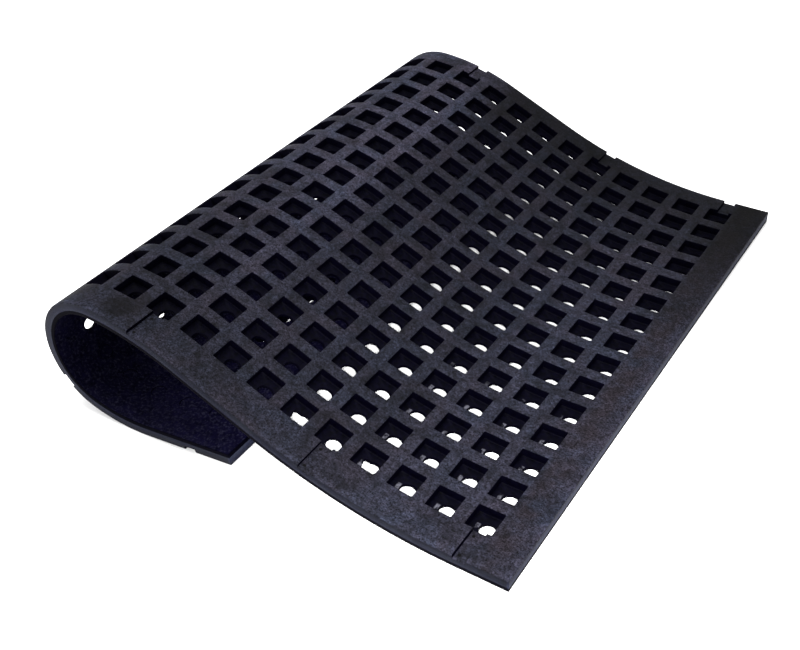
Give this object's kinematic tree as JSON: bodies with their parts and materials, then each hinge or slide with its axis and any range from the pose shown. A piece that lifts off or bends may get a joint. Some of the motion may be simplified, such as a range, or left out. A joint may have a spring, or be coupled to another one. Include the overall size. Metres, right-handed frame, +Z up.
{
  "type": "rubber stall mat",
  "caption": "Black moulded rubber stall mat with a grid of square drainage holes and a plain border, lying with one end rolled over and tucked under itself.",
  "frame": {"origin": "centre of the footprint of the mat as it lies, on the floor", "axes": "+X along the mat from the rolled end to the free end, +Y across its width from the front edge to the back edge, +Z up"},
  "size_m": [0.4896, 0.6168, 0.1347],
  "materials": {
    "rubber": "matt moulded rubber with fine mottling and light scuffs"
  },
  "bodies": {
    "root": {"stall_mat": "rubber"}
  },
  "joints": []
}
